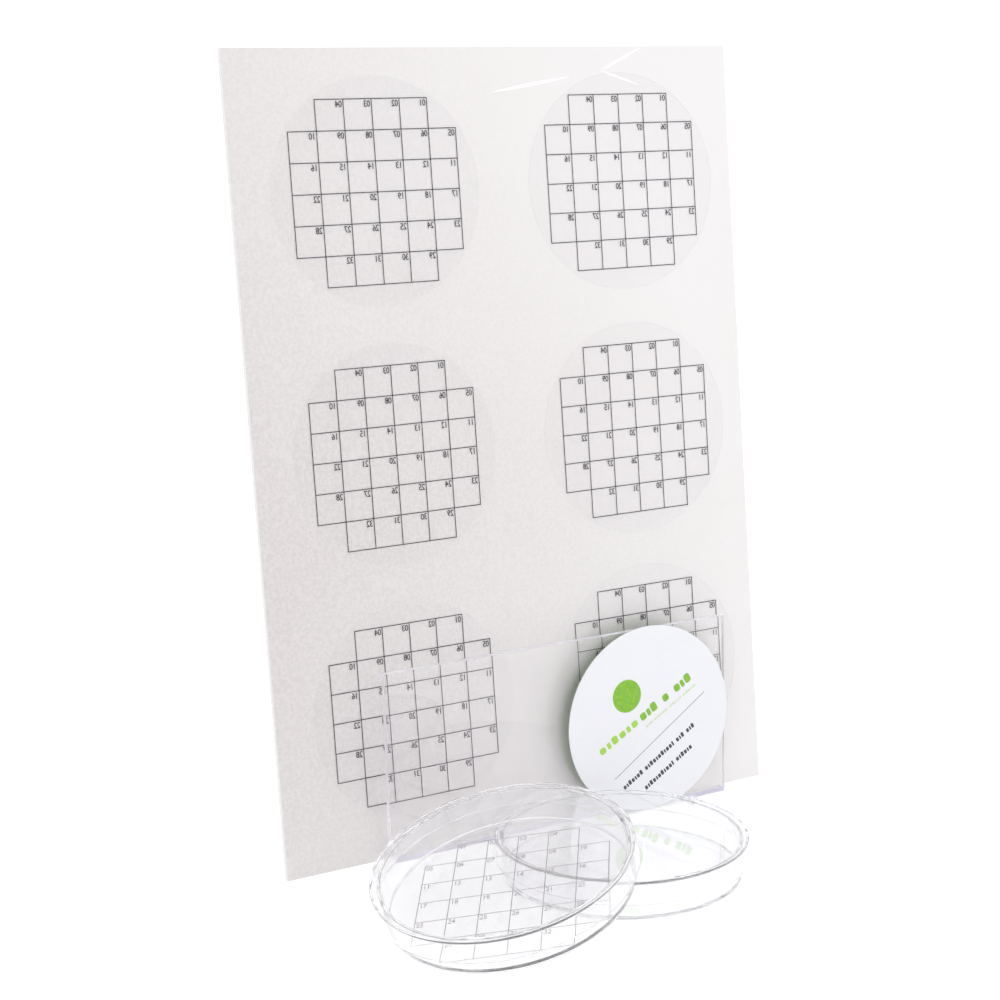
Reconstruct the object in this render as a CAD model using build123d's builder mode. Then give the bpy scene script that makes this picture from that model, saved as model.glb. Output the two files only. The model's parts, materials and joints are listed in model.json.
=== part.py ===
# Colony-counting grid set: a sheet of round grid stickers standing in a clear
# acrylic pocket stand, two closed Petri dishes and a round card in front of it.
# Millimetres, +Z up. X runs along the board, +Y goes to the back.
# The origin lies on the table, under the middle of the stand and the board's front edge.
import os
from math import cos, radians, sin, sqrt, tan

from build123d import *

# Sheet and board
board_width = 210.0
board_height = 297.0
board_thickness = 2.4
liner_thickness = 0.3
board_shift = -10.0            # board sits off centre in the stand
board_lean = 4.5               # degrees back from upright

# Stickers
sticker_radius = 41.0
film_thickness = 0.2
glue_gap = 0.05
sticker_pitch_x = 104.0
sticker_pitch_z = 95.7
sticker_centre = (2.5, 150.1)  # middle of the 2 x 3 pattern, from the board's bottom centre

# Acrylic stand
stand_width = 150.0
stand_thickness = 2.5
floor_thickness = 1.4
front_height = 73.9
floor_length = 76.0
back_height = 150.0
gusset_height = 62.0
gusset_spacing = 104.0
gusset_margin = 4.0
front_clearance = 1.0
back_clearance = 0.3
rest_gap = 0.05

# Petri dish
base_radius = 43.3
base_draft = 0.7
base_wall = 1.1
base_floor = 1.1
foot_recess = 0.4
foot_width = 1.1
base_height = 13.5
vent_height = 0.4
vent_length = 6.0
vent_gap = 0.1
lid_clearance = 1.1
lid_wall = 0.9
lid_top = 1.0
lid_height = 8.2
lid_draft = 0.3
corner_radius = 0.4

# Round card
card_radius = 37.5
card_thickness = 0.6
card_lean = 1.5
card_yaw = 1.5
card_gap = 0.15
card_overhang = 0.5            # past the stand's right edge

# Where the loose pieces lie
rear_dish_x = -5.8
dish_card_gap = 0.65
dish_tilt = 15.4
dish_bearing = 198.6           # direction from the rear dish to the front dish
lid_slide = 0.6                # front lid has slipped downhill on its base
contact_gap = 0.2

# The board leans on the back plate, with its lower rear edge on the floor plate.
lean = radians(board_lean)
stack = board_thickness + liner_thickness
edge_z = floor_thickness + rest_gap + stack * sin(lean)
face_plane = Plane(
    origin=(board_shift, 0, edge_z),
    x_dir=(1, 0, 0),
    z_dir=(0, -cos(lean), sin(lean)),
)


# Y of the plane that lies a depth behind the board's front face, at height z
def behind_face(depth, z):
    return (z - edge_z) * tan(lean) + depth / cos(lean)


back_front = stack + back_clearance
back_rear = back_front + stand_thickness
front_inner_y = -front_clearance
front_outer_y = front_inner_y - stand_thickness
floor_middle_y = front_inner_y + floor_length / 2

# Lid sizes that follow the base
base_top_radius = base_radius + base_draft
lid_inner_radius = base_top_radius + lid_clearance
lid_radius = lid_inner_radius + lid_wall
lid_under = base_height + vent_gap + vent_height
dish_height = lid_under + lid_top

# Card: upright disc that leans on the front plate
card_normal = Vector(0, -1, 0).rotate(Axis.X, -card_lean).rotate(Axis.Z, card_yaw)
card_swing = card_radius * sqrt(1 - card_normal.Y**2)
card_half_depth = card_swing + card_thickness / 2
card_y = front_outer_y - card_gap - card_half_depth
card_z = card_radius * cos(radians(card_lean)) + card_thickness / 2
card_plane = Plane(
    origin=(stand_width / 2 + card_overhang - card_radius, card_y, card_z),
    x_dir=Vector(1, 0, 0).rotate(Axis.Z, card_yaw),
    z_dir=card_normal,
)

# Rear dish flat on the table; front dish tilted, one edge down and its base on the rear lid
rear_dish_y = card_y - card_half_depth - dish_card_gap - lid_radius - lid_draft
rear_plane = Plane(origin=(rear_dish_x, rear_dish_y, 0))
tilt = radians(dish_tilt)
bearing = radians(dish_bearing)
overhang = (dish_height + contact_gap - base_radius * sin(tilt)) / tan(tilt)
reach = lid_radius + overhang
front_plane = Plane(
    origin=(
        rear_dish_x + reach * cos(bearing),
        rear_dish_y + reach * sin(bearing),
        base_radius * sin(tilt),
    ),
    x_dir=(cos(bearing) * cos(tilt), sin(bearing) * cos(tilt), -sin(tilt)),
    z_dir=(cos(bearing) * sin(tilt), sin(bearing) * sin(tilt), cos(tilt)),
)
front_lid_plane = Plane(
    origin=front_plane.origin + front_plane.x_dir * lid_slide,
    x_dir=front_plane.x_dir,
    z_dir=front_plane.z_dir,
)

os.makedirs("parts", exist_ok=True)


def save(part, name):
    part.label = name
    export_step(part, f"parts/{name}.step")


# Upright plane through a dish's axis, local x outwards and local y up the axis
def section(seat):
    return Plane(origin=seat.origin, x_dir=seat.x_dir, z_dir=-seat.y_dir)


def make_dish_base(seat):
    inner_radius = base_radius - base_wall
    floor_z = foot_recess + base_floor
    foot_radius = base_radius - foot_width
    with BuildPart() as base:
        with BuildSketch(section(seat)) as profile:
            with BuildLine():
                Polyline(
                    (0, foot_recess),
                    (foot_radius, foot_recess),
                    (foot_radius, 0),
                    (base_radius, 0),
                    (base_top_radius, base_height),
                    (base_top_radius - base_wall, base_height),
                    (inner_radius, floor_z),
                    (0, floor_z),
                    close=True,
                )
            make_face()
            outer_corner = profile.vertices().sort_by_distance((base_radius, 0))[0]
            inner_corner = profile.vertices().sort_by_distance((inner_radius, floor_z))[0]
            fillet([outer_corner, inner_corner], radius=corner_radius)
        revolve(axis=Axis(seat.origin, seat.z_dir))
    return base.part


def make_dish_lid(seat):
    skirt_z = dish_height - lid_height
    vent_radius = base_top_radius - base_wall / 2
    with BuildPart() as lid:
        with BuildSketch(section(seat)) as profile:
            with BuildLine():
                Polyline(
                    (0, lid_under),
                    (lid_inner_radius, lid_under),
                    (lid_inner_radius + lid_draft, skirt_z),
                    (lid_radius + lid_draft, skirt_z),
                    (lid_radius, dish_height),
                    (0, dish_height),
                    close=True,
                )
            make_face()
            top_corner = profile.vertices().sort_by_distance((lid_radius, dish_height))[0]
            fillet(top_corner, radius=corner_radius)
        revolve(axis=Axis(seat.origin, seat.z_dir))
        with BuildSketch(seat.offset(lid_under - vent_height)):
            with PolarLocations(vent_radius, 3, start_angle=30):
                Rectangle(base_wall, vent_length)
        extrude(amount=vent_height + lid_top / 2)
    return lid.part


# Stand: four kinds of flat acrylic piece, cemented together
with BuildPart() as front_plate:
    with BuildSketch(Plane.XZ.offset(-front_inner_y)):
        with Locations((0, front_height / 2)):
            Rectangle(stand_width, front_height)
    extrude(amount=stand_thickness)
save(front_plate.part, "stand_front_plate")

with BuildPart() as floor_plate:
    with BuildSketch():
        with Locations((0, floor_middle_y)):
            Rectangle(stand_width, floor_length)
    extrude(amount=floor_thickness)
save(floor_plate.part, "stand_floor_plate")

with BuildPart() as back_plate:
    top_z = floor_thickness + back_height
    with BuildSketch(Plane.YZ):
        with BuildLine():
            Polyline(
                (behind_face(back_front, floor_thickness), floor_thickness),
                (behind_face(back_rear, floor_thickness), floor_thickness),
                (behind_face(back_rear, top_z), top_z),
                (behind_face(back_front, top_z), top_z),
                close=True,
            )
        make_face()
    extrude(amount=stand_width / 2, both=True)
save(back_plate.part, "stand_back_plate")

for side, name in ((-1, "stand_left_gusset"), (1, "stand_right_gusset")):
    with BuildPart() as gusset:
        rear_y = front_inner_y + floor_length - gusset_margin
        tip_z = floor_thickness + gusset_height
        with BuildSketch(Plane.YZ.offset(side * gusset_spacing / 2)):
            with BuildLine():
                Polyline(
                    (behind_face(back_rear, floor_thickness), floor_thickness),
                    (rear_y, floor_thickness),
                    (rear_y, floor_thickness + gusset_margin),
                    (behind_face(back_rear, tip_z) + gusset_margin, tip_z),
                    (behind_face(back_rear, tip_z), tip_z),
                    close=True,
                )
            make_face()
        extrude(amount=stand_thickness / 2, both=True)
    save(gusset.part, name)

# Board with the release liner bonded on its front
with BuildPart() as board:
    with BuildSketch(face_plane.offset(-stack)):
        with Locations((0, board_height / 2)):
            Rectangle(board_width, board_height)
    extrude(amount=board_thickness)
save(board.part, "backing_board")

with BuildPart() as liner:
    with BuildSketch(face_plane.offset(-liner_thickness)):
        with Locations((0, board_height / 2)):
            Rectangle(board_width, board_height)
    extrude(amount=liner_thickness)
save(liner.part, "release_liner")

# Six stickers in two columns, numbered by rows from the top left
sticker_number = 0
for row in (1, 0, -1):
    for column in (-0.5, 0.5):
        sticker_number += 1
        sticker_x = sticker_centre[0] + column * sticker_pitch_x
        sticker_y = sticker_centre[1] + row * sticker_pitch_z
        with BuildPart() as sticker:
            with BuildSketch(face_plane.offset(glue_gap)):
                with Locations((sticker_x, sticker_y)):
                    Circle(sticker_radius)
            extrude(amount=film_thickness)
        save(sticker.part, f"grid_sticker_{sticker_number}")

# Petri dishes
save(make_dish_base(rear_plane), "rear_dish_base")
save(make_dish_lid(rear_plane), "rear_dish_lid")
save(make_dish_base(front_plane), "front_dish_base")
save(make_dish_lid(front_lid_plane), "front_dish_lid")

# The seventh sticker sits in the recess under the front dish
with BuildPart() as dish_sticker:
    with BuildSketch(front_plane.offset(foot_recess - glue_gap - film_thickness)):
        Circle(sticker_radius)
    extrude(amount=film_thickness)
save(dish_sticker.part, "dish_sticker")

with BuildPart() as card:
    with BuildSketch(card_plane):
        Circle(card_radius)
    extrude(amount=card_thickness / 2, both=True)
save(card.part, "round_card")
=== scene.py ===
import json
from math import cos, pi, radians, sin, tan

import bmesh
import bpy
from mathutils import Matrix, Vector


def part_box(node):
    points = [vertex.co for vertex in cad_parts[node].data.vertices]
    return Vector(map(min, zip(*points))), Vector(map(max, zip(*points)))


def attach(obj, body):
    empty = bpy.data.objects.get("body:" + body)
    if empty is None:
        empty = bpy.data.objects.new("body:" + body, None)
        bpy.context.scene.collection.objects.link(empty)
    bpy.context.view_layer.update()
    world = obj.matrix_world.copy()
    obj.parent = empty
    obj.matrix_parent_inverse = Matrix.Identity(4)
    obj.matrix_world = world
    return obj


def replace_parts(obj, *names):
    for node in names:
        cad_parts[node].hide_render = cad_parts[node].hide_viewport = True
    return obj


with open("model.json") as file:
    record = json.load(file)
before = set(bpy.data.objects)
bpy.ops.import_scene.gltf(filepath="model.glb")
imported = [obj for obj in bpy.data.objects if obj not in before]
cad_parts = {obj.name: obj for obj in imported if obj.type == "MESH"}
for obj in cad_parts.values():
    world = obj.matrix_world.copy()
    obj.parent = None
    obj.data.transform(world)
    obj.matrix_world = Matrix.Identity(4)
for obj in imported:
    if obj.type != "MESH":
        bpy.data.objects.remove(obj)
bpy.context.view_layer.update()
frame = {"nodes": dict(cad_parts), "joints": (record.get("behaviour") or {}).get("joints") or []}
nodes = frame["nodes"]
joints = {joint["name"]: joint for joint in frame["joints"]}
mm = 0.001


def middle(node):
    low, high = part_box(node)
    return (Vector(low) + Vector(high)) / 2


# Place with local x to the right, z along the outward direction, y upwards
def placeAt(origin, right, outward):
    out = Vector(outward).normalized()
    side = (Vector(right) - out * Vector(right).dot(out)).normalized()
    up = out.cross(side)
    return Matrix.Translation(origin) @ Matrix((side, up, out)).transposed().to_4x4()


print("frame loaded,", len(nodes), "CAD nodes")


def newMaterial(name):
    material = bpy.data.materials.new(name)
    material.use_nodes = True
    tree = material.node_tree
    shader = tree.nodes["Principled BSDF"]
    return material, tree, shader


def addNode(tree, kind, **values):
    node = tree.nodes.new(kind)
    for key, value in values.items():
        setattr(node, key, value)
    return node


def objectNoise(tree, scale, detail=3.0, rough=0.5, stretch=(1, 1, 1)):
    coords = addNode(tree, "ShaderNodeTexCoord")
    mapping = addNode(tree, "ShaderNodeMapping")
    mapping.inputs["Scale"].default_value = stretch
    noise = addNode(tree, "ShaderNodeTexNoise")
    noise.inputs["Scale"].default_value = scale
    noise.inputs["Detail"].default_value = detail
    noise.inputs["Roughness"].default_value = rough
    tree.links.new(coords.outputs["Object"], mapping.inputs["Vector"])
    tree.links.new(mapping.outputs["Vector"], noise.inputs["Vector"])
    return noise


def rampOf(tree, source, stops):
    ramp = addNode(tree, "ShaderNodeValToRGB")
    while len(ramp.color_ramp.elements) < len(stops):
        ramp.color_ramp.elements.new(0.5)
    for element, (at, colour) in zip(ramp.color_ramp.elements, stops):
        element.position = at
        element.color = (*colour, 1)
    tree.links.new(source, ramp.inputs["Fac"])
    return ramp


def mathOf(tree, operation, first, second=None, clamp=False):
    node = addNode(tree, "ShaderNodeMath", operation=operation, use_clamp=clamp)
    for socket, value in zip(node.inputs, (first, second)):
        if isinstance(value, bpy.types.NodeSocket):
            tree.links.new(value, socket)
        elif value is not None:
            socket.default_value = value
    return node.outputs[0]


def mixColour(tree, factor, first, second, blend="MIX"):
    node = addNode(tree, "ShaderNodeMix", data_type="RGBA", blend_type=blend)
    for socket, value in ((node.inputs[0], factor), (node.inputs[6], first), (node.inputs[7], second)):
        if isinstance(value, bpy.types.NodeSocket):
            tree.links.new(value, socket)
        elif isinstance(value, (int, float)):
            socket.default_value = value
        else:
            socket.default_value = (*value, 1)
    return node.outputs[2]


def bumpFrom(tree, height, strength, distance):
    bump = addNode(tree, "ShaderNodeBump")
    bump.inputs["Strength"].default_value = strength
    bump.inputs["Distance"].default_value = distance
    tree.links.new(height, bump.inputs["Height"])
    return bump.outputs["Normal"]


# Clear plastic: faint wear in the gloss, and a lilac-grey tint that deepens towards grazing faces, painted
# shade that stands in for the darker room seen in clear walls and edges
def clearPlastic(name, look):
    material, tree, shader = newMaterial(name)
    shader.inputs["Transmission Weight"].default_value = look["transmission"]
    shader.inputs["IOR"].default_value = look["ior"]
    wear = objectNoise(tree, look["wearScale"], detail=4)
    ramp = rampOf(tree, wear.outputs["Fac"], ((0.45, (look["gloss"],) * 3), (0.75, (look["worn"],) * 3)))
    tree.links.new(ramp.outputs["Color"], shader.inputs["Roughness"])
    facing = addNode(tree, "ShaderNodeLayerWeight")
    facing.inputs["Blend"].default_value = look["edgeBlend"]
    edge = mixColour(tree, facing.outputs["Facing"], look["clear"], look["edge"])
    tree.links.new(edge, shader.inputs["Base Color"])
    return material


# 1 on a sheet's sawn edges, 0 on its two large faces, which look along the thin axis
def sawnMask(tree, thin):
    geometry = addNode(tree, "ShaderNodeNewGeometry")
    split = addNode(tree, "ShaderNodeSeparateXYZ")
    tree.links.new(geometry.outputs["True Normal"], split.inputs["Vector"])
    return mathOf(tree, "LESS_THAN", mathOf(tree, "ABSOLUTE", split.outputs[thin]), 0.5)


# Clear sheet whose sawn edges are frosted and give off light of their own, painted light that stands in for
# the light piped along the sheet
def clearSheet(thin, face, sawn):
    material = clearPlastic(f"clearAcrylic{thin}", face)
    tree = material.node_tree
    shader = tree.nodes["Principled BSDF"]
    mask = sawnMask(tree, thin)
    for socket, edgeValue in (("Base Color", sawn["clear"]), ("Roughness", (sawn["gloss"],) * 3)):
        faceValue = shader.inputs[socket].links[0].from_socket
        tree.links.new(mixColour(tree, mask, faceValue, edgeValue), shader.inputs[socket])
    drop = mathOf(tree, "MULTIPLY", mask, face["transmission"] - sawn["transmission"])
    tree.links.new(mathOf(tree, "SUBTRACT", face["transmission"], drop), shader.inputs["Transmission Weight"])
    # painted light: emission on the sawn edges
    tree.links.new(mixColour(tree, mask, (0, 0, 0), sawn["clear"]), shader.inputs["Emission Color"])
    shader.inputs["Emission Strength"].default_value = sawn["paintedEdgeGlow"]
    return material


# painted shade in both clear looks: the grazing tint colour darkens walls and edges seen edge-on
acrylicLook = {"ior": 1.49, "clear": (0.99, 0.988, 0.99), "edge": (0.96, 0.95, 0.97), "edgeBlend": 0.2,
               "gloss": 0.0, "worn": 0.04, "wearScale": 60, "transmission": 0.985}
sawnLook = {"clear": (0.86, 0.85, 0.90), "gloss": 0.3, "transmission": 0.45, "paintedEdgeGlow": 0.12}
styreneLook = {"ior": 1.59, "clear": (0.996, 0.996, 0.998), "edge": (0.95, 0.95, 0.975), "edgeBlend": 0.3,
               "gloss": 0.0, "worn": 0.03, "wearScale": 80, "transmission": 0.975}
acrylic = {thin: clearSheet(thin, acrylicLook, sawnLook) for thin in "XYZ"}
styrene = clearPlastic("clearStyrene", styreneLook)

# painted shade on the liner: the light colour is where the light falls fullest, the dark colour where it
# falls weakest
linerLook = {"light": (0.745, 0.727, 0.725), "dark": (0.640, 0.612, 0.600), "speckScale": 800,
             "cloudScale": 9, "grain": 0.90, "shadeX": 4.6, "shadeAt": 0.46, "shadeZ": 2.8, "darkAt": 0.12,
             "roughness": 0.32}


def linerMaterial(look):
    material, tree, shader = newMaterial("glossyLiner")
    coords = addNode(tree, "ShaderNodeTexCoord")
    split = addNode(tree, "ShaderNodeSeparateXYZ")
    tree.links.new(coords.outputs["Object"], split.inputs["Vector"])
    # painted shade: darkest at the left, below the middle, and lighter towards the top and right, as the
    # light falls; the speckle shows most in the same darker part
    along = mathOf(tree, "MULTIPLY_ADD", split.outputs["X"], look["shadeX"])
    along.node.inputs[2].default_value = look["shadeAt"]
    fromDark = mathOf(tree, "ABSOLUTE", mathOf(tree, "SUBTRACT", split.outputs["Z"], look["darkAt"]))
    rise = mathOf(tree, "MULTIPLY", fromDark, look["shadeZ"])
    place = mathOf(tree, "ADD", along, rise, clamp=True)
    shade = mixColour(tree, place, look["dark"], look["light"])
    speck = objectNoise(tree, look["speckScale"], detail=2, rough=0.6)
    grain = rampOf(tree, speck.outputs["Fac"], ((0.38, (look["grain"],) * 3), (0.62, (1.0, 1.0, 1.0))))
    cloud = objectNoise(tree, look["cloudScale"], detail=3)
    soft = rampOf(tree, cloud.outputs["Fac"], ((0.3, (0.975, 0.97, 0.965)), (0.7, (1.0, 1.0, 1.0))))
    fade = mathOf(tree, "SUBTRACT", 1.0, place, clamp=True)
    mottled = mixColour(tree, fade, shade, grain.outputs["Color"], "MULTIPLY")
    final = mixColour(tree, 1.0, mottled, soft.outputs["Color"], "MULTIPLY")
    tree.links.new(final, shader.inputs["Base Color"])
    shader.inputs["Roughness"].default_value = look["roughness"]
    shader.inputs["Specular IOR Level"].default_value = 0.4
    tree.links.new(bumpFrom(tree, speck.outputs["Fac"], 0.12, 0.0001), shader.inputs["Normal"])
    return material


boardLook = {"paper": (0.74, 0.735, 0.73), "core": (0.66, 0.655, 0.65), "fibreScale": 700}


def boardMaterial(look):
    material, tree, shader = newMaterial("foamBoard")
    fibre = objectNoise(tree, look["fibreScale"], detail=4, rough=0.7)
    ramp = rampOf(tree, fibre.outputs["Fac"], ((0.3, look["core"]), (0.7, look["paper"])))
    tree.links.new(ramp.outputs["Color"], shader.inputs["Base Color"])
    shader.inputs["Roughness"].default_value = 0.75
    tree.links.new(bumpFrom(tree, fibre.outputs["Fac"], 0.3, 0.0001), shader.inputs["Normal"])
    return material


filmLook = {"tint": (0.995, 0.995, 0.997), "roughness": 0.08, "rippleScale": 14}


# Thin film: mostly lets light straight through, with a gloss on top
def filmMaterial(look):
    material, tree, shader = newMaterial("stickerFilm")
    output = tree.nodes["Material Output"]
    tree.nodes.remove(shader)
    clear = addNode(tree, "ShaderNodeBsdfTransparent")
    gloss = addNode(tree, "ShaderNodeBsdfGlossy")
    fresnel = addNode(tree, "ShaderNodeFresnel")
    mix = addNode(tree, "ShaderNodeMixShader")
    ripple = objectNoise(tree, look["rippleScale"], detail=2)
    tint = rampOf(tree, ripple.outputs["Fac"], ((0.3, look["tint"]), (0.7, (1.0, 1.0, 1.0))))
    tree.links.new(tint.outputs["Color"], clear.inputs["Color"])
    tree.links.new(bumpFrom(tree, ripple.outputs["Fac"], 0.2, 0.0004), gloss.inputs["Normal"])
    gloss.inputs["Roughness"].default_value = look["roughness"]
    fresnel.inputs["IOR"].default_value = 1.35
    sides = addNode(tree, "ShaderNodeNewGeometry")
    outside = mathOf(tree, "SUBTRACT", 1.0, sides.outputs["Backfacing"])
    tree.links.new(mathOf(tree, "MULTIPLY", fresnel.outputs["Fac"], outside), mix.inputs["Fac"])
    tree.links.new(clear.outputs["BSDF"], mix.inputs[1])
    tree.links.new(gloss.outputs["BSDF"], mix.inputs[2])
    tree.links.new(mix.outputs["Shader"], output.inputs["Surface"])
    return material


# Printing ink, also used for the painted crease highlight and the painted shade of the kiss cuts: two close
# shades with a slight unevenness
def inkMaterial(name, deep, pale, roughness=0.5, scale=900):
    material, tree, shader = newMaterial(name)
    patch = objectNoise(tree, scale, detail=3)
    ramp = rampOf(tree, patch.outputs["Fac"], ((0.35, deep), (0.7, pale)))
    tree.links.new(ramp.outputs["Color"], shader.inputs["Base Color"])
    shader.inputs["Roughness"].default_value = roughness
    return material


liner = linerMaterial(linerLook)
foamBoard = boardMaterial(boardLook)
film = filmMaterial(filmLook)
gridInk = inkMaterial("gridInk", (0.004, 0.004, 0.016), (0.012, 0.012, 0.032), 0.45)
# painted highlight: near-white colour for the creases, standing in for light glinting along them
paintedCreaseHighlight = inkMaterial("paintedCreaseHighlight", (0.93, 0.92, 0.92), (0.96, 0.95, 0.95), 0.15)
# painted shade: grey colour for the kiss-cut rings, standing in for the shade in the cut
kissCutShade = inkMaterial("kissCutPaintedShade", (0.62, 0.60, 0.61), (0.70, 0.68, 0.69), 0.6)

cardLook = {"front": (0.735, 0.74, 0.765), "rear": (0.10, 0.30, 0.015), "fibreScale": 500,
            "thickness": 0.6 * mm, "lean": 1.5, "yaw": 1.5}
cardOut = Vector((sin(radians(cardLook["yaw"])) * cos(radians(cardLook["lean"])),
                  -cos(radians(cardLook["yaw"])) * cos(radians(cardLook["lean"])),
                  sin(radians(cardLook["lean"]))))


# Card: white face and edge, green rear face
def cardMaterial(look):
    material, tree, shader = newMaterial("printedCard")
    coords = addNode(tree, "ShaderNodeTexCoord")
    along = addNode(tree, "ShaderNodeVectorMath", operation="DOT_PRODUCT")
    along.inputs[1].default_value = cardOut
    tree.links.new(coords.outputs["Object"], along.inputs[0])
    rearAt = middle("round_card").dot(cardOut) - look["thickness"] / 2
    isFront = mathOf(tree, "GREATER_THAN", along.outputs["Value"], rearAt + 0.1 * mm)
    fibre = objectNoise(tree, look["fibreScale"], detail=4, rough=0.65)
    shaded = tuple(0.98 * part for part in look["front"])
    pale = rampOf(tree, fibre.outputs["Fac"], ((0.3, shaded), (0.7, look["front"])))
    colour = mixColour(tree, isFront, look["rear"], pale.outputs["Color"])
    tree.links.new(colour, shader.inputs["Base Color"])
    shader.inputs["Roughness"].default_value = 0.35
    tree.links.new(bumpFrom(tree, fibre.outputs["Fac"], 0.1, 0.0001), shader.inputs["Normal"])
    return material


printedCard = cardMaterial(cardLook)
cardGreen = inkMaterial("cardGreen", (0.16, 0.40, 0.015), (0.24, 0.47, 0.03), 0.4, 700)
cardLightGreen = inkMaterial("cardLightGreen", (0.30, 0.56, 0.05), (0.36, 0.60, 0.08), 0.4, 700)
cardGrey = inkMaterial("cardGrey", (0.035, 0.035, 0.06), (0.06, 0.06, 0.09), 0.5, 700)
cardPale = inkMaterial("cardPale", (0.50, 0.60, 0.40), (0.56, 0.66, 0.46), 0.5, 700)


def dress(node, material):
    slots = nodes[node].data.materials
    slots.clear()
    slots.append(material)


# axis along which each plate is thin
plates = {"stand_front_plate": "Y", "stand_back_plate": "Y", "stand_floor_plate": "Z",
          "stand_left_gusset": "X", "stand_right_gusset": "X"}
stickers = [f"grid_sticker_{number}" for number in range(1, 7)]
for plate, thin in plates.items():
    dress(plate, acrylic[thin])
dress("backing_board", foamBoard)
dress("release_liner", liner)
for sticker in (*stickers, "dish_sticker"):
    dress(sticker, film)
dress("round_card", printedCard)
print("materials made")


def pieceFrom(name, mesh, material, body):
    mesh.materials.clear()
    mesh.materials.append(material)
    piece = bpy.data.objects.new(name, mesh)
    bpy.context.scene.collection.objects.link(piece)
    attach(piece, body)
    return piece


# Merges doubles and turns every closed shell outwards
def tidyShell(mesh, merge=1e-7):
    shell = bmesh.new()
    shell.from_mesh(mesh)
    bmesh.ops.remove_doubles(shell, verts=shell.verts, dist=merge)
    bmesh.ops.recalc_face_normals(shell, faces=shell.faces)
    shell.to_mesh(mesh)
    shell.free()


# Rounds each corner of a closed outline; a point is (r, z, radius)
def roundCorners(points, steps=4):
    outline = []
    count = len(points)
    for index, (r, z, radius) in enumerate(points):
        here = Vector((r, z))
        if radius == 0:
            outline.append(here)
            continue
        back = (Vector(points[index - 1][:2]) - here).normalized()
        ahead = (Vector(points[(index + 1) % count][:2]) - here).normalized()
        half = back.angle(ahead) / 2
        reach = radius / tan(half)
        centre = here + (back + ahead).normalized() * radius / sin(half)
        start = here + back * reach
        end = here + ahead * reach
        outline.append(start + back * radius * 0.5)
        for step in range(steps + 1):
            blend = start.lerp(end, step / steps)
            outline.append(centre + (blend - centre).normalized() * radius)
        outline.append(end + ahead * radius * 0.5)
    return outline


# Turns an outline about the local z axis; outlineAt gives the outline at each step
def turnShell(name, outlineAt, steps, place):
    mesh = bpy.data.meshes.new(name)
    shell = bmesh.new()
    rings = []
    for step in range(steps):
        angle = 2 * pi * step / steps
        ring = []
        for index, (r, z) in enumerate(outlineAt(step)):
            if r < 1e-9 and rings:
                ring.append(rings[0][index])
            else:
                ring.append(shell.verts.new((r * cos(angle), r * sin(angle), z)))
        rings.append(ring)
    for step in range(steps):
        near, far = rings[step], rings[(step + 1) % steps]
        count = len(near)
        for index in range(count):
            after = (index + 1) % count
            corners = []
            for vert in (near[index], far[index], far[after], near[after]):
                if vert not in corners:
                    corners.append(vert)
            if len(corners) > 2:
                shell.faces.new(corners)
    bmesh.ops.recalc_face_normals(shell, faces=shell.faces)
    for face in shell.faces:
        face.smooth = True
    shell.to_mesh(mesh)
    shell.free()
    mesh.transform(place)
    return mesh


dish = {"baseRadius": 43.3 * mm, "topRadius": 44.0 * mm, "wall": 1.1 * mm, "floor": 1.1 * mm,
        "recess": 0.4 * mm, "foot": 1.1 * mm, "footRound": 0.12 * mm, "height": 13.5 * mm,
        "ventDepth": 0.4 * mm, "ventLength": 6.0 * mm, "ventGap": 0.1 * mm, "ventAngles": (30, 150, 270),
        "ribSlant": 0.05 * mm, "ribSupport": 0.15 * mm, "lidInner": 45.1 * mm, "lidWall": 0.9 * mm,
        "lidTop": 1.0 * mm, "lidHeight": 8.2 * mm, "draft": 0.3 * mm, "corner": 0.4 * mm, "edge": 0.2 * mm,
        "innerCorner": 0.15 * mm, "midRing": 20 * mm, "lidSlide": 0.6 * mm, "steps": 192}


def baseOutline(step):
    d = dish
    floorTop = d["recess"] + d["floor"]
    inner = d["baseRadius"] - d["wall"]
    footInner = d["baseRadius"] - d["foot"]
    return roundCorners([
        (0, d["recess"], 0),
        (d["midRing"], d["recess"], 0),
        (footInner, d["recess"], d["footRound"]),
        (footInner, 0, d["footRound"]),
        (d["baseRadius"], 0, d["corner"]),
        (d["topRadius"], d["height"], d["edge"]),
        (d["topRadius"] - d["wall"], d["height"], d["edge"]),
        (inner, floorTop, d["corner"]),
        (d["midRing"], floorTop, 0),
        (0, floorTop, 0)])


lidUnder = dish["height"] + dish["ventGap"] + dish["ventDepth"]
dishHeight = lidUnder + dish["lidTop"]


# Lid outline; three short ribs under the top stand on the base's rim
def lidOutline(step):
    d = dish
    turn = 2 * pi * step / d["steps"]
    ribRadius = d["topRadius"] - d["wall"] / 2
    away = min(abs((turn - radians(a) + pi) % (2 * pi) - pi) for a in d["ventAngles"])
    ribUnder = lidUnder - d["ventDepth"] if away * ribRadius <= d["ventLength"] / 2 else lidUnder
    skirt = dishHeight - d["lidHeight"]
    ribHalf = d["wall"] / 2
    return roundCorners([
        (0, lidUnder, 0),
        (d["midRing"], lidUnder, 0),
        (ribRadius - ribHalf - d["ribSupport"], lidUnder, 0),
        (ribRadius - ribHalf, lidUnder, 0),
        (ribRadius - ribHalf + d["ribSlant"], ribUnder, 0),
        (ribRadius + ribHalf - d["ribSlant"], ribUnder, 0),
        (ribRadius + ribHalf, lidUnder, 0),
        (ribRadius + ribHalf + d["ribSupport"], lidUnder, 0),
        (d["lidInner"], lidUnder, d["innerCorner"]),
        (d["lidInner"] + d["draft"], skirt, d["edge"]),
        (d["lidInner"] + d["lidWall"] + d["draft"], skirt, d["edge"]),
        (d["lidInner"] + d["lidWall"], dishHeight, d["corner"]),
        (d["midRing"], dishHeight, 0),
        (0, dishHeight, 0)])


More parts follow.
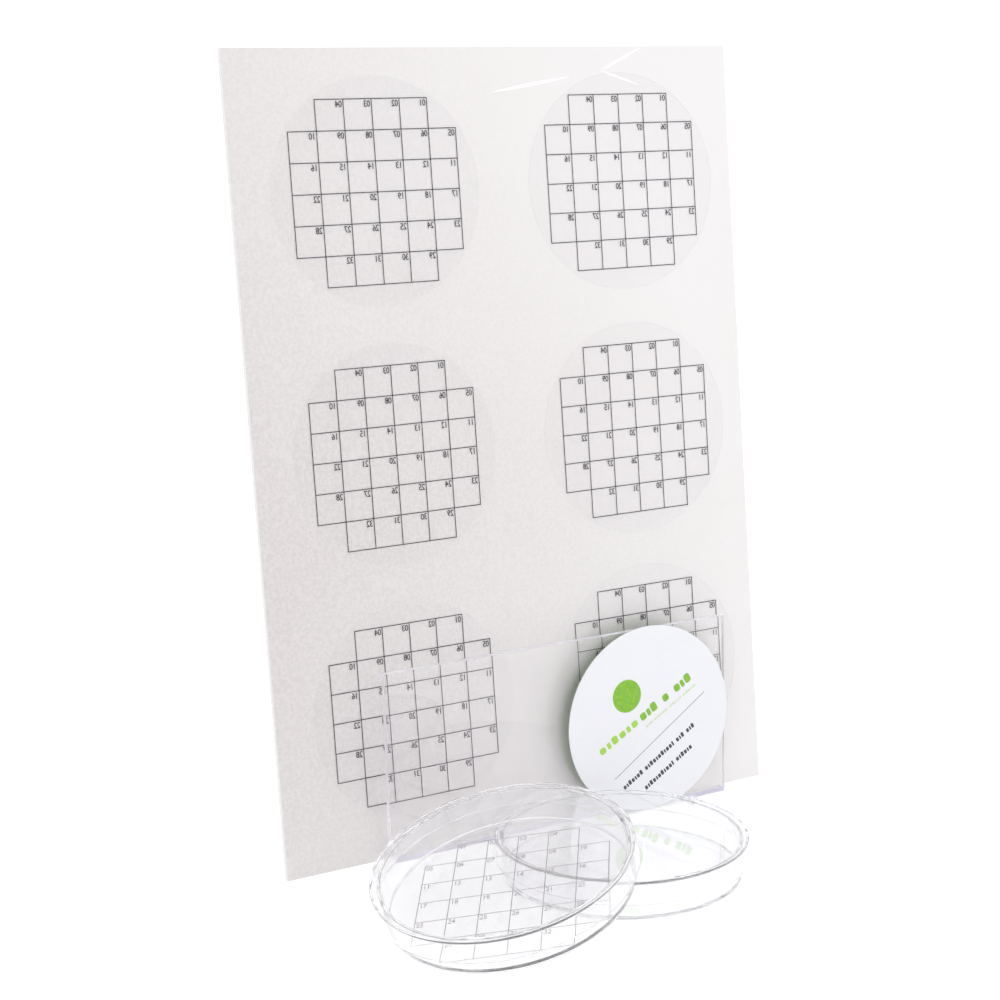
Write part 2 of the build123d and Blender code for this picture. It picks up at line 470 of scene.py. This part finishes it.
rearCentre = middle("rear_dish_base")
rearPlace = placeAt((rearCentre.x, rearCentre.y, 0), (1, 0, 0), (0, 0, 1))
dishAxis = Vector(joints["front_lid_lift"]["axis"]).normalized()
stickerMiddle = 0.25 * mm                       # height of the dish sticker's middle above the foot
frontOrigin = middle("dish_sticker") - dishAxis * stickerMiddle
downhill = Vector((dishAxis.x, dishAxis.y, 0)).normalized()
frontPlace = placeAt(frontOrigin, downhill, dishAxis)
frontLidPlace = frontPlace @ Matrix.Translation((dish["lidSlide"], 0, 0))

for name, node, outline, place, body in (
        ("rearDishBase", "rear_dish_base", baseOutline, rearPlace, "rear_base"),
        ("rearDishLid", "rear_dish_lid", lidOutline, rearPlace, "rear_lid"),
        ("frontDishBase", "front_dish_base", baseOutline, frontPlace, "front_base"),
        ("frontDishLid", "front_dish_lid", lidOutline, frontLidPlace, "front_lid")):
    shellMesh = turnShell(name, outline, dish["steps"], place)
    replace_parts(pieceFrom(name, shellMesh, styrene, body), node)
print("dishes made")

gridPrint = {"Cell": 11.04 * mm, "Line": 0.27 * mm, "Ink": 0.02 * mm, "Digit": 2.45 * mm, "Advance": 1.3 * mm,
             "Narrow": 0.86, "Inset X": 0.45 * mm, "Inset Y": 0.42 * mm}


# New Geometry Nodes tree with named inputs; gives the tree, its input sockets and its output node
def startTree(name, inputs):
    tree = bpy.data.node_groups.new(name, "GeometryNodeTree")
    tree.interface.new_socket("Geometry", in_out="OUTPUT", socket_type="NodeSocketGeometry")
    for title, kind in inputs:
        tree.interface.new_socket(title, in_out="INPUT", socket_type=kind)
    given = addNode(tree, "NodeGroupInput")
    output = addNode(tree, "NodeGroupOutput")
    return tree, given.outputs, output


def vectorOf(tree, x, y, z):
    node = addNode(tree, "ShaderNodeCombineXYZ")
    for socket, value in zip(node.inputs, (x, y, z)):
        if isinstance(value, bpy.types.NodeSocket):
            tree.links.new(value, socket)
        else:
            socket.default_value = value
    return node.outputs[0]


def joinOf(tree, *sources):
    node = addNode(tree, "GeometryNodeJoinGeometry")
    for source in sources:
        tree.links.new(source, node.inputs[0])
    return node.outputs[0]


def buildGridTree():
    names = list(gridPrint)
    inputs = [(title, "NodeSocketFloat") for title in names] + [("Material", "NodeSocketMaterial")]
    tree, given, output = startTree("countingGrid", inputs)
    link = tree.links.new
    cell, line, ink = given["Cell"], given["Line"], given["Ink"]
    # seven upright lines, the outer two shorter
    row = addNode(tree, "GeometryNodeMeshLine")
    row.inputs["Count"].default_value = 7
    link(vectorOf(tree, mathOf(tree, "MULTIPLY", cell, -3.0), 0.0, 0.0), row.inputs["Start Location"])
    link(vectorOf(tree, cell, 0.0, 0.0), row.inputs["Offset"])
    index = addNode(tree, "GeometryNodeInputIndex").outputs[0]
    fromMiddle = mathOf(tree, "ABSOLUTE", mathOf(tree, "SUBTRACT", index, 3.0))
    outer = mathOf(tree, "GREATER_THAN", fromMiddle, 2.5)
    cells = mathOf(tree, "SUBTRACT", 6.0, mathOf(tree, "MULTIPLY", outer, 2.0))
    length = mathOf(tree, "ADD", mathOf(tree, "MULTIPLY", cells, cell), line)
    bar = addNode(tree, "GeometryNodeMeshCube")
    bar.inputs["Size"].default_value = (1, 1, 1)
    place = addNode(tree, "GeometryNodeInstanceOnPoints")
    link(row.outputs["Mesh"], place.inputs["Points"])
    link(bar.outputs["Mesh"], place.inputs["Instance"])
    link(vectorOf(tree, line, length, ink), place.inputs["Scale"])
    across = addNode(tree, "GeometryNodeTransform")
    link(place.outputs["Instances"], across.inputs["Geometry"])
    across.inputs["Rotation"].default_value = (0, 0, pi / 2)
    across.inputs["Scale"].default_value = (1, 1, 0.9)
    lines = joinOf(tree, place.outputs["Instances"], across.outputs["Geometry"])
    lift = addNode(tree, "GeometryNodeTransform")
    link(lines, lift.inputs["Geometry"])
    link(vectorOf(tree, 0.0, 0.0, mathOf(tree, "MULTIPLY", ink, 0.5)), lift.inputs["Translation"])
    # a point in each cell, without the four corners
    points = addNode(tree, "GeometryNodeMeshLine")
    points.inputs["Count"].default_value = 36
    rowNumber = mathOf(tree, "FLOOR", mathOf(tree, "DIVIDE", mathOf(tree, "ADD", index, 0.5), 6.0))
    column = mathOf(tree, "SUBTRACT", index, mathOf(tree, "MULTIPLY", rowNumber, 6.0))
    left = mathOf(tree, "MULTIPLY", mathOf(tree, "SUBTRACT", column, 3.0), cell)
    top = mathOf(tree, "MULTIPLY", mathOf(tree, "SUBTRACT", 3.0, rowNumber), cell)
    labelX = mathOf(tree, "ADD", left, given["Inset X"])
    labelY = mathOf(tree, "SUBTRACT", mathOf(tree, "SUBTRACT", top, given["Inset Y"]), given["Digit"])
    spread = addNode(tree, "GeometryNodeSetPosition")
    link(points.outputs["Mesh"], spread.inputs["Geometry"])
    link(vectorOf(tree, labelX, labelY, 0.0), spread.inputs["Position"])
    firstRow = mathOf(tree, "LESS_THAN", rowNumber, 0.5)
    lastRow = mathOf(tree, "GREATER_THAN", rowNumber, 4.5)
    number = mathOf(tree, "ADD", mathOf(tree, "MULTIPLY", rowNumber, 6.0), column)
    shorter = mathOf(tree, "SUBTRACT", 1.0, firstRow)
    number = mathOf(tree, "SUBTRACT", mathOf(tree, "SUBTRACT", number, shorter), lastRow)
    keep = addNode(tree, "GeometryNodeStoreNamedAttribute", data_type="FLOAT", domain="POINT")
    keep.inputs["Name"].default_value = "number"
    link(spread.outputs["Geometry"], keep.inputs["Geometry"])
    link(number, keep.inputs["Value"])
    endRow = mathOf(tree, "ADD", firstRow, lastRow)
    fromCentre = mathOf(tree, "ABSOLUTE", mathOf(tree, "SUBTRACT", column, 2.5))
    endColumn = mathOf(tree, "GREATER_THAN", fromCentre, 2.0)
    drop = addNode(tree, "GeometryNodeDeleteGeometry", domain="POINT")
    link(keep.outputs["Geometry"], drop.inputs["Geometry"])
    link(mathOf(tree, "MULTIPLY", endRow, endColumn), drop.inputs["Selection"])
    # ten figures, each moved back to its own origin
    text = addNode(tree, "GeometryNodeStringToCurves")
    text.inputs["String"].default_value = "0123456789"
    link(mathOf(tree, "MULTIPLY", given["Digit"], 1.37), text.inputs["Size"])
    coarse = addNode(tree, "GeometryNodeSetSplineResolution")
    link(text.outputs["Curve Instances"], coarse.inputs["Geometry"])
    coarse.inputs["Resolution"].default_value = 2
    flat = addNode(tree, "GeometryNodeFillCurve")
    link(coarse.outputs["Geometry"], flat.inputs["Curve"])
    home = addNode(tree, "GeometryNodeTranslateInstances")
    link(flat.outputs["Mesh"], home.inputs["Instances"])
    placed = addNode(tree, "GeometryNodeInputPosition").outputs[0]
    back = addNode(tree, "ShaderNodeVectorMath", operation="SCALE")
    link(placed, back.inputs[0])
    back.inputs["Scale"].default_value = -1.0
    link(back.outputs["Vector"], home.inputs["Translation"])
    home.inputs["Local Space"].default_value = False
    stored = addNode(tree, "GeometryNodeInputNamedAttribute", data_type="FLOAT")
    stored.inputs["Name"].default_value = "number"
    value = stored.outputs["Attribute"]
    tens = mathOf(tree, "FLOOR", mathOf(tree, "DIVIDE", mathOf(tree, "ADD", value, 0.5), 10.0))
    units = mathOf(tree, "SUBTRACT", value, mathOf(tree, "MULTIPLY", tens, 10.0))
    figures = []
    for digit, shift in ((tens, 0.0), (units, 1.0)):
        move = addNode(tree, "GeometryNodeSetPosition")
        link(drop.outputs["Geometry"], move.inputs["Geometry"])
        advance = mathOf(tree, "MULTIPLY", given["Advance"], shift)
        link(vectorOf(tree, advance, 0.0, 0.0), move.inputs["Offset"])
        put = addNode(tree, "GeometryNodeInstanceOnPoints")
        put.inputs["Pick Instance"].default_value = True
        link(move.outputs["Geometry"], put.inputs["Points"])
        link(home.outputs["Instances"], put.inputs["Instance"])
        link(mathOf(tree, "ROUND", digit), put.inputs["Instance Index"])
        link(vectorOf(tree, given["Narrow"], 1.0, 1.0), put.inputs["Scale"])
        figures.append(put.outputs["Instances"])
    real = addNode(tree, "GeometryNodeRealizeInstances")
    link(joinOf(tree, *figures), real.inputs["Geometry"])
    thicken = addNode(tree, "GeometryNodeExtrudeMesh", mode="FACES")
    link(real.outputs["Geometry"], thicken.inputs["Mesh"])
    thicken.inputs["Individual"].default_value = False
    link(vectorOf(tree, 0.0, 0.0, 1.0), thicken.inputs["Offset"])
    link(ink, thicken.inputs["Offset Scale"])
    under = addNode(tree, "GeometryNodeFlipFaces")
    link(real.outputs["Geometry"], under.inputs["Mesh"])
    closed = joinOf(tree, thicken.outputs["Mesh"], under.outputs["Mesh"])
    allReal = addNode(tree, "GeometryNodeRealizeInstances")
    link(joinOf(tree, lift.outputs["Geometry"], closed), allReal.inputs["Geometry"])
    paint = addNode(tree, "GeometryNodeSetMaterial")
    link(allReal.outputs["Geometry"], paint.inputs["Geometry"])
    link(given["Material"], paint.inputs["Material"])
    link(paint.outputs["Geometry"], output.inputs["Geometry"])
    return tree


# Runs a tree on an empty host and returns the plain mesh
def growMesh(name, tree, values):
    host = bpy.data.objects.new(name + "Host", bpy.data.meshes.new(name + "Host"))
    bpy.context.scene.collection.objects.link(host)
    modifier = host.modifiers.new(name, "NODES")
    modifier.node_group = tree
    for item in tree.interface.items_tree:
        if item.item_type == "SOCKET" and item.in_out == "INPUT" and item.name in values:
            modifier[item.identifier] = values[item.name]
    graph = bpy.context.evaluated_depsgraph_get()
    mesh = bpy.data.meshes.new_from_object(host.evaluated_get(graph), depsgraph=graph)
    mesh.name = name
    host.modifiers.remove(modifier)
    bpy.data.objects.remove(host)
    return mesh


gridTree = buildGridTree()
sheetOut = Vector(joints["sticker_1_peel"]["axis"]).normalized()
filmHalf = 0.1 * mm
mirrored = Matrix.Diagonal((-1, 1, 1, 1))       # the film is read from its back
for number, sticker in enumerate(stickers, 1):
    mesh = growMesh(f"gridPrint{number}", gridTree, {**gridPrint, "Material": gridInk})
    at = middle(sticker) + sheetOut * filmHalf
    mesh.transform(placeAt(at, (1, 0, 0), sheetOut) @ mirrored)
    tidyShell(mesh)
    pieceFrom(f"gridPrint{number}", mesh, gridInk, f"sticker_{number}")

dishGrid = {"azimuth": -32.9, "right": 0.9 * mm, "up": -1.2 * mm}
reading = Vector((cos(radians(dishGrid["azimuth"])), sin(radians(dishGrid["azimuth"])), 0))
mesh = growMesh("gridPrintDish", gridTree, {**gridPrint, "Material": gridInk})
dishPrintPlace = placeAt(middle("dish_sticker") + dishAxis * filmHalf, reading, dishAxis)
mesh.transform(dishPrintPlace @ Matrix.Translation((dishGrid["right"], dishGrid["up"], 0)))
tidyShell(mesh)
pieceFrom("gridPrintDish", mesh, gridInk, "front_base")
print("grids printed")

# Kiss cuts round the stickers: each ring follows the real cut, and its grey colour is painted shade in the
# slit
kissCut = {"radius": 41.12 * mm, "width": 0.16 * mm, "height": 0.03 * mm, "below": 0.05 * mm, "steps": 128}


# Rectangular outline from one radius to another, to be turned into a flat ring or disc
def flatOutline(inner, outer, height):
    return [Vector((inner, 0)), Vector((outer, 0)), Vector((outer, height)), Vector((inner, height))]


cutOutline = flatOutline(kissCut["radius"], kissCut["radius"] + kissCut["width"], kissCut["height"])
cutMesh = bmesh.new()
for sticker in stickers:
    cutPlace = placeAt(middle(sticker) - sheetOut * (filmHalf + kissCut["below"]), (1, 0, 0), sheetOut)
    cutMesh.from_mesh(turnShell("ring", lambda step: cutOutline, kissCut["steps"], cutPlace))
for face in cutMesh.faces:
    face.smooth = False
cuts = bpy.data.meshes.new("kissCuts")
cutMesh.to_mesh(cuts)
cutMesh.free()
pieceFrom("kissCuts", cuts, kissCutShade, "board")
print("kiss cuts made")

# Creases in the liner: real low ridges, coloured near-white as a painted highlight of the light glinting
# along them; x and y are millimetres from the middle of the sheet
crease = {"height": 0.18 * mm, "steps": 10, "linerHalf": 0.15 * mm,
          "lines": (((-0.7, 131.9), (34.1, 137.3), 1.2), ((66.2, 148.0), (47.6, 139.4), 1.0),
                    ((47.6, 139.4), (65.3, 133.5), 0.7))}


# Low ridge that swells from both ends towards its middle
def addRidge(shell, start, end, width):
    along = end - start
    across = Vector((-along.y, along.x)).normalized() * width / 2
    rows = []
    for step in range(1, crease["steps"]):
        part = step / crease["steps"]
        swell = sin(pi * part)
        at = start + along * part
        section = ((*(at - across * swell), 0), (*at, crease["height"] * swell), (*(at + across * swell), 0))
        rows.append([shell.verts.new(point) for point in section])
    for near, far in zip(rows, rows[1:]):
        for index in range(3):
            after = (index + 1) % 3
            shell.faces.new((near[index], far[index], far[after], near[after]))
    for tip, row in ((start, rows[0]), (end, rows[-1])):
        point = shell.verts.new((*tip, 0))
        for index in range(3):
            shell.faces.new((point, row[index], row[(index + 1) % 3]))


ridges = bmesh.new()
for start, end, width in crease["lines"]:
    addRidge(ridges, Vector(start) * mm, Vector(end) * mm, width * mm)
creaseMesh = bpy.data.meshes.new("linerCreases")
ridges.to_mesh(creaseMesh)
ridges.free()
creaseMesh.transform(placeAt(middle("release_liner") + sheetOut * crease["linerHalf"], (1, 0, 0), sheetOut))
tidyShell(creaseMesh)
pieceFrom("linerCreases", creaseMesh, paintedCreaseHighlight, "board")
print("creases made")

cardFace = placeAt(middle("round_card") + cardOut * cardLook["thickness"] / 2, (1, 0, 0), cardOut)
cardPrint = {"slope": 28.5, "ink": 0.02 * mm, "disc": 6.6 * mm, "discAt": (-10.5 * mm, 11.0 * mm),
             "discSteps": 64}


# Flat block with rounded corners, a closed thin solid; its lower left corner is at the start
def addBlock(shell, start, direction, width, height, ink):
    turn = Matrix.Rotation(direction, 4, "Z")
    radius = 0.35 * min(width, height)
    steps = 4
    corners = ((width - radius, radius, -90), (width - radius, height - radius, 0),
               (radius, height - radius, 90), (radius, radius, 180))
    lower = []
    for x, y, first in corners:
        for step in range(steps + 1):
            angle = radians(first + 90 * step / steps)
            point = Vector((x + radius * cos(angle), y + radius * sin(angle), 0))
            lower.append(shell.verts.new(turn @ point + Vector((*start, 0))))
    upper = [shell.verts.new(vert.co + Vector((0, 0, ink))) for vert in lower]
    shell.faces.new(lower[::-1])
    shell.faces.new(upper)
    for index in range(len(lower)):
        after = (index + 1) % len(lower)
        shell.faces.new((lower[index], lower[after], upper[after], upper[index]))


# Rows of blocks; a row is start, slope, block width, height, gap and the number of blocks in each word
def blockRow(name, rows, material):
    shell = bmesh.new()
    for start, slope, width, height, gap, words in rows:
        direction = radians(slope)
        step = Vector((cos(direction), sin(direction)))
        at = Vector(start)
        for count in words:
            for index in range(count):
                tall = height * (1.25 if index % 4 == 2 else 1.0)
                wide = width * (0.6 if index % 3 == 1 else 1.0)
                addBlock(shell, at * mm, direction, wide * mm, tall * mm, cardPrint["ink"])
                at += step * (wide + gap)
            at += step * width
    mesh = bpy.data.meshes.new(name)
    shell.to_mesh(mesh)
    shell.free()
    mesh.transform(cardFace)
    tidyShell(mesh)
    return pieceFrom(name, mesh, material, "card")


slope = cardPrint["slope"]
blockRow("cardNameRow", [((-23.0, -11.0), slope, 2.9, 2.7, 1.0, (6,))], cardLightGreen)
blockRow("cardNameRowBold", [((-3.6, -0.6), slope, 2.9, 3.1, 0.6, (3, 1, 3))], cardGreen)
blockRow("cardSmallRow", [((-1.6, -3.4), slope, 0.75, 0.9, 0.3, (4, 8, 7, 8))], cardPale)
blockRow("cardRule", [((-17.1, -21.7), 32.7, 51.9, 0.2, 0, (1,))], cardGrey)
blockRow("cardTextRows", [((-12.7, -26.9), slope + 1.7, 1.25, 1.7, 0.42, (7, 11, 3, 3)),
                          ((-2.6, -28.9), slope + 1.7, 1.25, 1.7, 0.42, (11, 6))], cardGrey)

# round badge
badgeOutline = flatOutline(0, cardPrint["disc"], cardPrint["ink"])
badgePlace = cardFace @ Matrix.Translation((*cardPrint["discAt"], 0))
badgeMesh = turnShell("cardBadge", lambda step: badgeOutline, cardPrint["discSteps"], badgePlace)
for polygon in badgeMesh.polygons:
    polygon.use_smooth = False
pieceFrom("cardBadge", badgeMesh, cardGreen, "card")
print("card printed")

lightSetup = {"sky": (1.0, 1.0, 1.0), "skyStrength": 1.26, "dim": (0.86, 0.855, 0.885), "floorGlow": 0.30,
              "floorWhite": 0.80, "floorRadius": 30, "floorDrop": 0.00005, "bounces": 32}


def makeWorld(look):
    world = bpy.data.worlds.new("studio")
    bpy.context.scene.world = world
    world.use_nodes = True
    tree = world.node_tree
    background = tree.nodes["Background"]
    coords = addNode(tree, "ShaderNodeTexCoord")
    split = addNode(tree, "ShaderNodeSeparateXYZ")
    tree.links.new(coords.outputs["Generated"], split.inputs["Vector"])
    # a slightly darker side of the room, in front and to the left, which the clear edges pick up
    front = mathOf(tree, "MULTIPLY", split.outputs["Y"], -1.0)
    left = mathOf(tree, "MULTIPLY", split.outputs["X"], -0.6)
    towards = mathOf(tree, "ADD", front, left)
    ramp = rampOf(tree, towards, ((0.25, look["sky"]), (0.95, look["dim"])))
    tree.links.new(ramp.outputs["Color"], background.inputs["Color"])
    background.inputs["Strength"].default_value = look["skyStrength"]


def makeFloor(look):
    material, tree, shader = newMaterial("paleFloor")
    grain = objectNoise(tree, 30, detail=2)
    white = look["floorWhite"]
    ramp = rampOf(tree, grain.outputs["Fac"], ((0.3, (white * 0.995,) * 3), (0.7, (white,) * 3)))
    tree.links.new(ramp.outputs["Color"], shader.inputs["Base Color"])
    shader.inputs["Roughness"].default_value = 0.9
    shader.inputs["Emission Color"].default_value = (1, 1, 1, 1)
    shader.inputs["Emission Strength"].default_value = look["floorGlow"]
    bpy.ops.mesh.primitive_circle_add(vertices=96, radius=look["floorRadius"], fill_type="NGON",
                                      location=(0, 0, -look["floorDrop"]))
    floor = bpy.context.object
    floor.name = "floor"
    floor.data.materials.append(material)


lampSetup = {"at": (1.3, -1.1, 1.5), "target": (0, 0, 0.15), "size": 1.2, "power": 3}


def addLamp(name, look):
    data = bpy.data.lights.new(name, "AREA")
    data.size = look["size"]
    data.energy = look["power"]
    lamp = bpy.data.objects.new(name, data)
    bpy.context.scene.collection.objects.link(lamp)
    lamp.location = look["at"]
    lamp.rotation_mode = "QUATERNION"
    lamp.rotation_quaternion = (Vector(look["target"]) - Vector(look["at"])).to_track_quat("-Z", "Y")


makeWorld(lightSetup)
makeFloor(lightSetup)
addLamp("softRight", lampSetup)

cameraSetup = {"lens": 67.13, "at": (-0.34445, -0.60148, 0.26633), "azimuth": -28.10, "elevation": 11.13,
               "roll": -1.63}
bpy.context.scene.view_settings.view_transform = "Standard"
for limit in ("max_bounces", "glossy_bounces", "transmission_bounces", "transparent_max_bounces"):
    # light has to get through two closed dishes
    setattr(bpy.context.scene.cycles, limit, lightSetup["bounces"])
bpy.context.scene.cycles.blur_glossy = 0            # clear walls stay clear to light that comes off paper
camera = bpy.data.objects.new("camera", bpy.data.cameras.new("camera"))
bpy.context.scene.collection.objects.link(camera)
camera.data.lens = cameraSetup["lens"]
camera.data.sensor_width = 36
camera.data.clip_start = 0.01
camera.location = cameraSetup["at"]
camera.rotation_mode = "QUATERNION"
azimuth, elevation = radians(cameraSetup["azimuth"]), radians(cameraSetup["elevation"])
looking = Vector((-sin(azimuth) * cos(elevation), cos(azimuth) * cos(elevation), -sin(elevation)))
camera.rotation_quaternion = (looking.to_track_quat("-Z", "Y").to_matrix()
                              @ Matrix.Rotation(radians(cameraSetup["roll"]), 3, "Z")).to_quaternion()
bpy.context.scene.camera = camera

print("scene ready")
